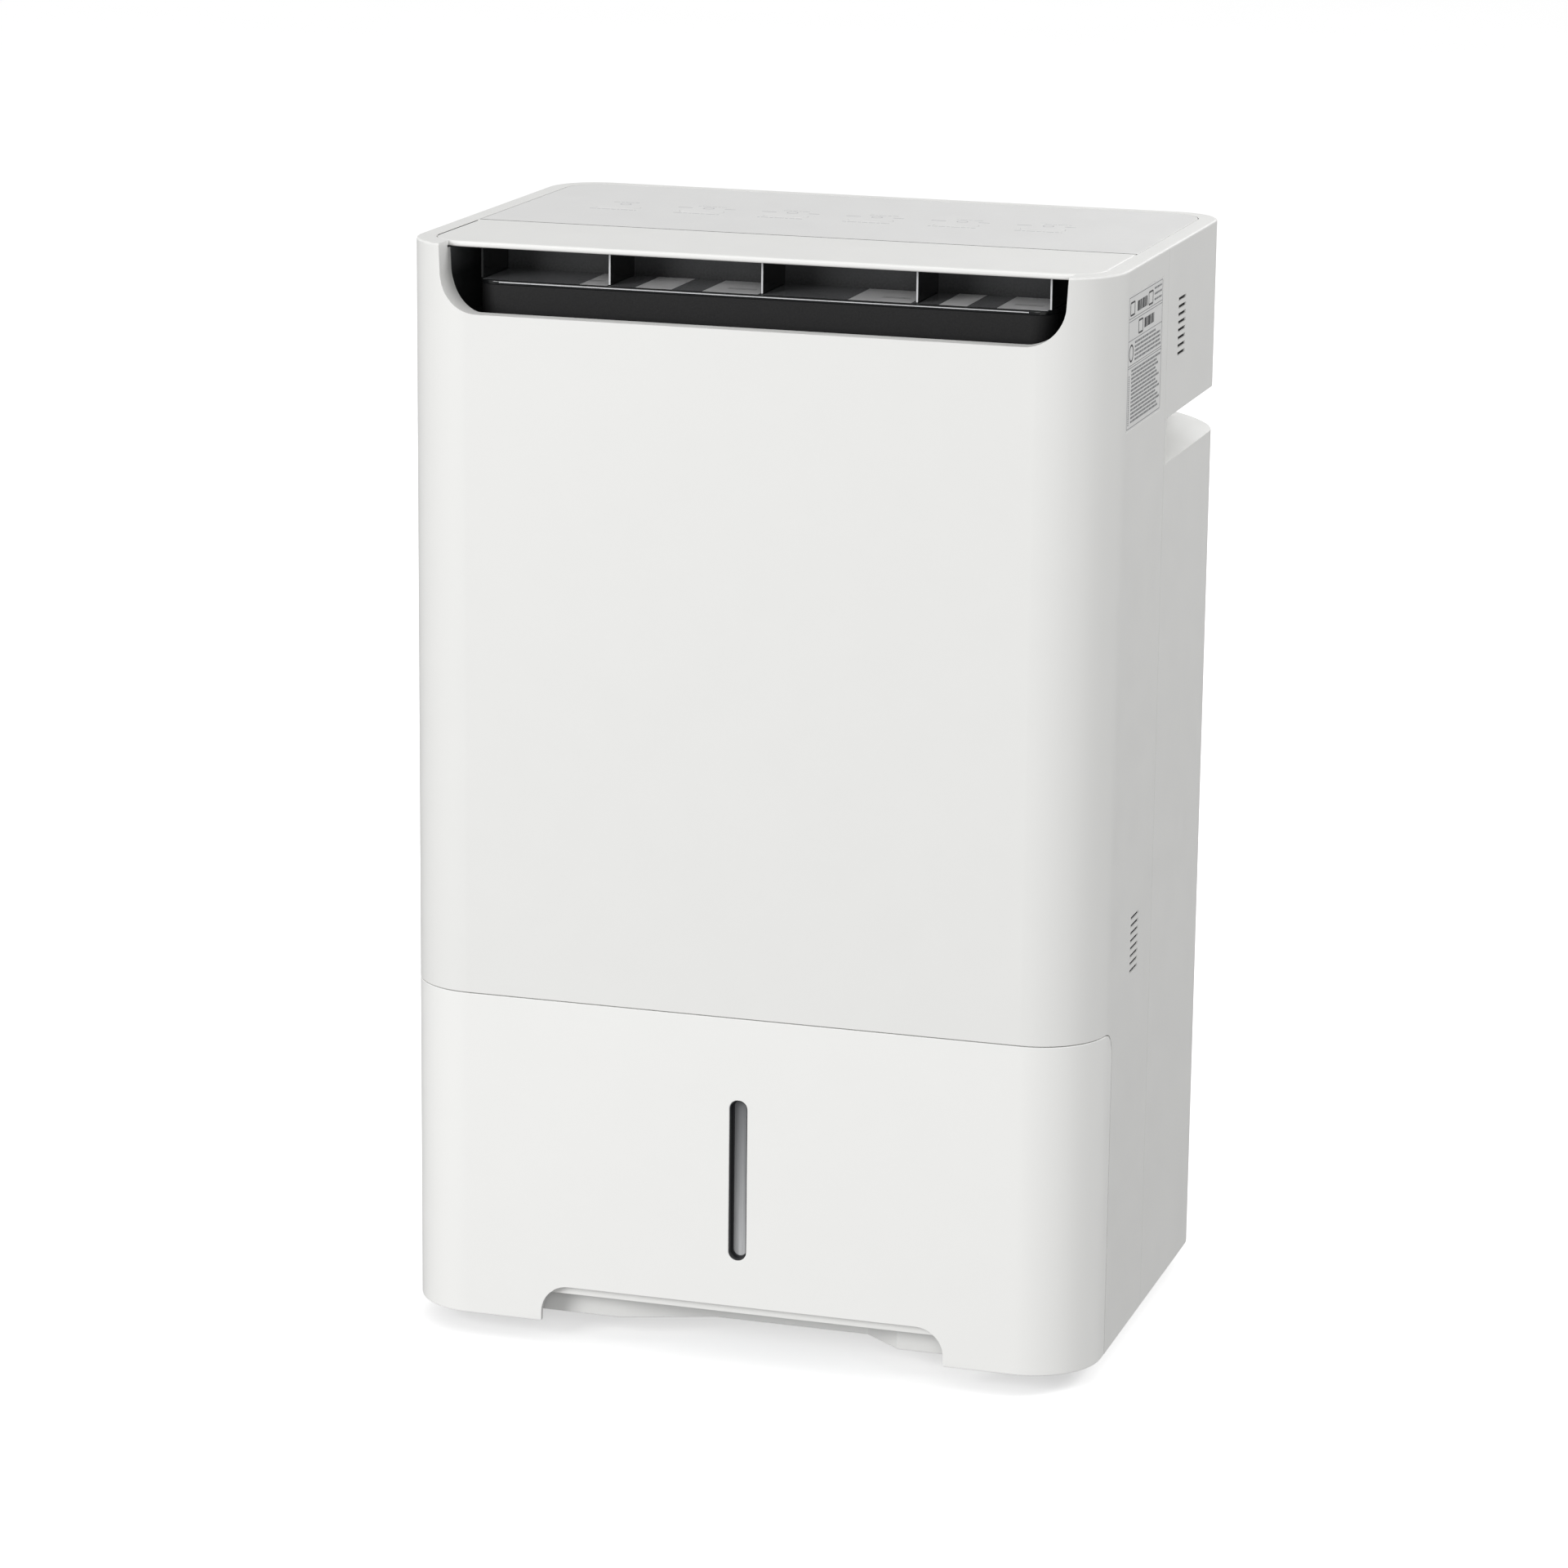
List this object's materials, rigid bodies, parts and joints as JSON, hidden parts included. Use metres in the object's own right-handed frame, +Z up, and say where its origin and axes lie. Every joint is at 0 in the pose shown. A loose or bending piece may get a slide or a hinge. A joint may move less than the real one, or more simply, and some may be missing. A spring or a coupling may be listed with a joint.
{
  "type": "dehumidifier",
  "caption": "Free-standing compressor dehumidifier with a hinged top louver, flush control keys, a pull-out water tank with level window, side grips and a rear intake grille.",
  "frame": {"origin": "on the floor, at the middle of the whole machine's footprint", "axes": "+Z up, -Y towards the front with the outlet and the tank, +X to the right seen from the front"},
  "size_m": [0.376, 0.272, 0.585],
  "materials": {
    "shell_white": "fine matte moulded",
    "panel_white": "satin moulded",
    "key_white": "satin moulded",
    "base_white": "plain moulded",
    "tank_plastic": "translucent natural",
    "float_plastic": "foam-textured",
    "smoke_lens": "smoky gloss",
    "lamp_lens": "frosted",
    "black_gloss": "polished black",
    "black_grain": "fine grained black",
    "black_satin": "satin black",
    "inner_grey": "plain moulded",
    "fan_black": "satin moulded",
    "steel": "zinc plated",
    "motor_case": "painted steel",
    "compressor_paint": "semi-gloss black enamel",
    "copper": "drawn copper",
    "fins": "bare aluminium fin",
    "board_green": "solder-mask",
    "small_black": "plain moulded",
    "box_grey": "plain moulded",
    "capacitor_can": "drawn can",
    "sensor_white": "plain moulded",
    "label_film": "satin film",
    "rubber": "moulded rubber",
    "filter_plastic": "plain moulded",
    "filter_fabric": "woven polypropylene mesh"
  },
  "bodies": {
    "chassis": {"front_panel": "shell_white", "rear_cabinet": "shell_white", "control_panel": "panel_white", "base_pan": "base_white", "bulkhead": "base_white", "deck": "base_white", "indicator_lenses": "lamp_lens", "outlet_frame": "black_satin", "fan_scroll": "inner_grey", "fan_inlet_ring": "inner_grey", "outlet_duct": "inner_grey", "drain_pan": "inner_grey", "drain_spout": "inner_grey", "cabinet_screws": "steel", "motor_mount": "steel", "compressor_mount": "steel", "fan_motor": "motor_case", "compressor": "compressor_paint", "discharge_line": "copper", "suction_line": "copper", "capillary_line": "copper", "condenser": "fins", "evaporator": "fins", "control_board": "board_green", "key_switches": "small_black", "louver_motor": "small_black", "electronics_box": "box_grey", "run_capacitor": "capacitor_can", "humidity_sensor": "sensor_white", "information_label": "label_film", "rubber_feet": "rubber", "cord_gland": "rubber"},
    "louver": {"louver_flap": "shell_white", "louver_pins": "steel", "louver_blade": "black_gloss", "louver_skirt": "black_grain", "louver_rib_left": "black_gloss", "louver_rib_middle": "black_gloss", "louver_rib_right": "black_gloss", "louver_end_left": "black_gloss", "louver_end_right": "black_gloss"},
    "fan": {"fan_wheel": "fan_black", "fan_shaft": "steel"},
    "tank": {"tank_cover": "shell_white", "tank_bucket": "tank_plastic", "tank_window": "smoke_lens", "tank_lid": "tank_plastic", "float_bracket": "tank_plastic"},
    "float": {"tank_float": "float_plastic"},
    "intake": {"rear_grille": "shell_white", "filter_frame": "filter_plastic", "filter_mesh": "filter_fabric"},
    "power_key": {"power_button": "key_white"},
    "mode_key": {"mode_button": "key_white"},
    "laundry_key": {"laundry_button": "key_white"},
    "airflow_key": {"airflow_button": "key_white"},
    "louver_key": {"louver_button": "key_white"},
    "timer_key": {"timer_button": "key_white"}
  },
  "joints": [
    {"name": "louver_hinge", "type": "hinge", "parent": "chassis", "child": "louver", "pos_m": [0, -0.041, 0.582], "axis": [-1, 0, 0], "range_deg": [0, 80]},
    {"name": "fan_spin", "type": "hinge", "parent": "chassis", "child": "fan", "pos_m": [0, -0.08, 0.395], "axis": [0, 1, 0], "continuous": true},
    {"name": "tank_slide", "type": "slide", "parent": "chassis", "child": "tank", "axis": [0, -1, 0], "range_m": [0, 0.16]},
    {"name": "float_swing", "type": "hinge", "parent": "tank", "child": "float", "pos_m": [0.11, -0.018, 0.166], "axis": [-1, 0, 0], "range_deg": [0, 35]},
    {"name": "intake_pull", "type": "slide", "parent": "chassis", "child": "intake", "axis": [0, 1, 0], "range_m": [0, 0.06]},
    {"name": "power_press", "type": "slide", "parent": "chassis", "child": "power_key", "axis": [0, 0, -1], "range_m": [0, 0.0008], "stiffness_N_per_m": 500},
    {"name": "mode_press", "type": "slide", "parent": "chassis", "child": "mode_key", "axis": [0, 0, -1], "range_m": [0, 0.0008], "stiffness_N_per_m": 500},
    {"name": "laundry_press", "type": "slide", "parent": "chassis", "child": "laundry_key", "axis": [0, 0, -1], "range_m": [0, 0.0008], "stiffness_N_per_m": 500},
    {"name": "airflow_press", "type": "slide", "parent": "chassis", "child": "airflow_key", "axis": [0, 0, -1], "range_m": [0, 0.0008], "stiffness_N_per_m": 500},
    {"name": "louver_press", "type": "slide", "parent": "chassis", "child": "louver_key", "axis": [0, 0, -1], "range_m": [0, 0.0008], "stiffness_N_per_m": 500},
    {"name": "timer_press", "type": "slide", "parent": "chassis", "child": "timer_key", "axis": [0, 0, -1], "range_m": [0, 0.0008], "stiffness_N_per_m": 500}
  ]
}
